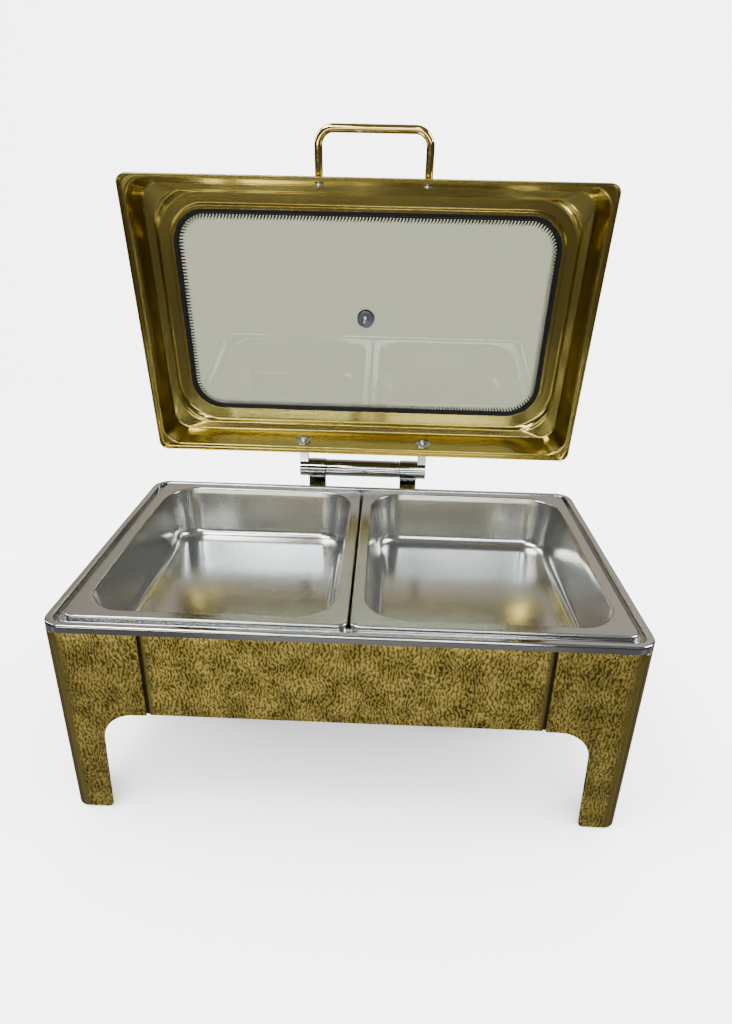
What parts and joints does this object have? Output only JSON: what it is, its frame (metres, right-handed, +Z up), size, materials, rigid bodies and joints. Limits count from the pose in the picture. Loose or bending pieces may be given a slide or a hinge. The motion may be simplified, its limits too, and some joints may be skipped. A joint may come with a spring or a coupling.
{
  "type": "chafer",
  "caption": "Rectangular food warmer with food pans over a water pan on a legged gold stand, and a rear-hinged lid with a glass window and a bar handle",
  "frame": {"origin": "Centre of the bounding box in X and Y, with the lid open at its stop, on the plane the feet stand on", "axes": "+X along the width to the right as seen from the front, +Y to the hinge side, +Z up"},
  "size_m": [0.562, 0.3958, 0.6531],
  "materials": {
    "gold_hammered": "fine rippled hammered sheet with an olive gold coating, smooth bands along the corner and beside the seams",
    "gold_satin": "satin olive gold coating on pressed sheet, with bright highlights on the folds",
    "gold_polished": "polished gold",
    "rim_steel": "polished stainless steel rim",
    "pan_steel": "satin stainless steel inside, brushed flange",
    "plain_steel": "plain mill finish stainless steel",
    "chrome_trim": "bright chrome",
    "window_glass": "clear tempered glass with a black printed border that fades out in dots",
    "seal_silicone": "black silicone",
    "foot_plastic": "black moulded plastic"
  },
  "bodies": {
    "stand": {"back_panel": "gold_hammered", "bracket_screw_left_lower": "chrome_trim", "bracket_screw_left_upper": "chrome_trim", "bracket_screw_right_lower": "chrome_trim", "bracket_screw_right_upper": "chrome_trim", "burner_rod_back": "chrome_trim", "burner_rod_front": "chrome_trim", "clip_rivet_left_back": "chrome_trim", "clip_rivet_left_front": "chrome_trim", "clip_rivet_right_back": "chrome_trim", "clip_rivet_right_front": "chrome_trim", "foot_pad_back_left": "foot_plastic", "foot_pad_back_right": "foot_plastic", "foot_pad_front_left": "foot_plastic", "foot_pad_front_right": "foot_plastic", "front_panel": "gold_hammered", "fuel_cup_left": "plain_steel", "fuel_cup_right": "plain_steel", "hinge_bracket_left": "chrome_trim", "hinge_bracket_right": "chrome_trim", "hinge_sleeve": "chrome_trim", "left_panel": "gold_hammered", "leg_back_left": "gold_hammered", "leg_back_right": "gold_hammered", "leg_front_left": "gold_hammered", "leg_front_right": "gold_hammered", "right_panel": "gold_hammered", "rod_clip_left": "plain_steel", "rod_clip_right": "plain_steel", "snuffer_pin_left": "chrome_trim", "snuffer_pin_right": "chrome_trim", "top_frame": "plain_steel"},
    "lid": {"glass_seal": "seal_silicone", "handle": "gold_polished", "handle_screw_left": "chrome_trim", "handle_screw_right": "chrome_trim", "hinge_arm_left": "chrome_trim", "hinge_arm_right": "chrome_trim", "hinge_shaft": "chrome_trim", "lid_glass": "window_glass", "lid_screw_left": "chrome_trim", "lid_screw_right": "chrome_trim", "lid_shell": "gold_satin", "vent_cap": "chrome_trim", "vent_screw": "chrome_trim", "vent_washer": "chrome_trim"},
    "water_pan": {"water_pan": "rim_steel"},
    "food_pan_left": {"food_pan_left": "pan_steel"},
    "food_pan_right": {"food_pan_right": "pan_steel"},
    "snuffer_left": {"snuffer_left": "plain_steel"},
    "snuffer_right": {"snuffer_right": "plain_steel"}
  },
  "joints": [
    {"name": "lid_hinge", "type": "hinge", "parent": "stand", "child": "lid", "pos_m": [0, 0.1799, 0.2414], "axis": [-1, 0, 0], "range_deg": [-81, 0]},
    {"name": "water_pan_lift", "type": "slide", "parent": "stand", "child": "water_pan", "axis": [0, 0, 1], "range_m": [0, 0.03]},
    {"name": "food_pan_left_lift", "type": "slide", "parent": "water_pan", "child": "food_pan_left", "axis": [0, 0, 1], "range_m": [0, 0.07]},
    {"name": "food_pan_right_lift", "type": "slide", "parent": "water_pan", "child": "food_pan_right", "axis": [0, 0, 1], "range_m": [0, 0.07]},
    {"name": "snuffer_left_swivel", "type": "hinge", "parent": "stand", "child": "snuffer_left", "pos_m": [-0.081, -0.0209, 0.0688], "axis": [0, 0, 1], "range_deg": [0, 110]},
    {"name": "snuffer_right_swivel", "type": "hinge", "parent": "stand", "child": "snuffer_right", "pos_m": [0.081, -0.0209, 0.0688], "axis": [0, 0, 1], "range_deg": [0, 110]}
  ]
}
